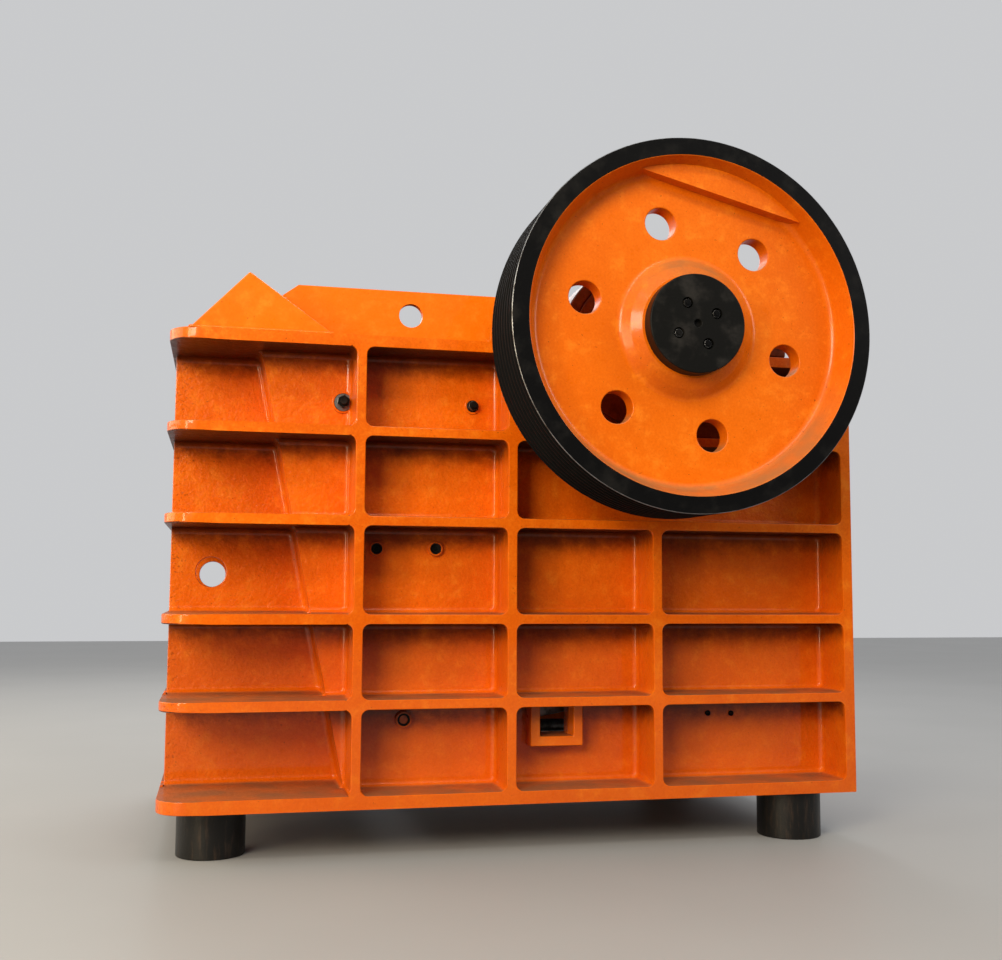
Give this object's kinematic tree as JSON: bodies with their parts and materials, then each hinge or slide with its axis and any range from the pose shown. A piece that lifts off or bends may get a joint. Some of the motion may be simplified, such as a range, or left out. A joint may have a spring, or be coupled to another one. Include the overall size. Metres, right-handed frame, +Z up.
{
  "type": "jaw crusher",
  "caption": "Single-toggle jaw crusher: ribbed orange steel frame, grooved counterweighted pulley and plain flywheel on an eccentric shaft, toothed jaws, standing on round blocks.",
  "frame": {"origin": "on the floor, in the middle under the machine", "axes": "+X from the feed end to the back, -Y to the pulley side, +Z up"},
  "size_m": [2.18, 2.206, 2.104],
  "materials": {
    "orange_paint": "glossy enamel on cast and welded steel",
    "black_paint": "satin black enamel",
    "cast_jaw_steel": "rough cast manganese steel",
    "bare_steel": "oiled machined steel",
    "support_block": "dark scale with rust"
  },
  "bodies": {
    "frame": {"near_side_wall": "orange_paint", "far_side_wall": "orange_paint", "front_wall": "orange_paint", "back_wall": "orange_paint", "near_shelf_ribs": "orange_paint", "far_shelf_ribs": "orange_paint", "near_upright_ribs": "orange_paint", "far_upright_ribs": "orange_paint", "front_shelf_ribs": "orange_paint", "front_upright_ribs": "orange_paint", "back_shelf_ribs": "orange_paint", "back_upright_ribs": "orange_paint", "feed_ridge": "orange_paint", "ridge_end_plates": "orange_paint", "near_hopper_plate": "orange_paint", "far_hopper_plate": "orange_paint", "near_bearing_saddle": "orange_paint", "far_bearing_saddle": "orange_paint", "near_bearing_housing": "orange_paint", "far_bearing_housing": "orange_paint", "near_bearing_cap": "orange_paint", "far_bearing_cap": "orange_paint", "fixed_jaw_plate": "cast_jaw_steel", "upper_cheek_plates": "cast_jaw_steel", "lower_cheek_plates": "cast_jaw_steel", "swing_jaw": "orange_paint", "swing_jaw_plate": "cast_jaw_steel", "toggle_plate": "bare_steel", "adjusting_block": "orange_paint", "shim_plates": "bare_steel", "tension_rods": "bare_steel", "tension_springs": "bare_steel", "window_frames": "orange_paint", "front_near_block": "support_block", "front_far_block": "support_block", "back_near_block": "support_block", "back_far_block": "support_block"},
    "rotor": {"eccentric_shaft": "bare_steel", "pulley_wheel": "orange_paint", "flywheel": "orange_paint", "near_end_cap": "black_paint", "far_end_cap": "black_paint"}
  },
  "joints": [
    {"name": "rotor_spin", "type": "hinge", "parent": "frame", "child": "rotor", "pos_m": [0.388, 0, 1.556], "axis": [0, 1, 0], "continuous": true}
  ]
}
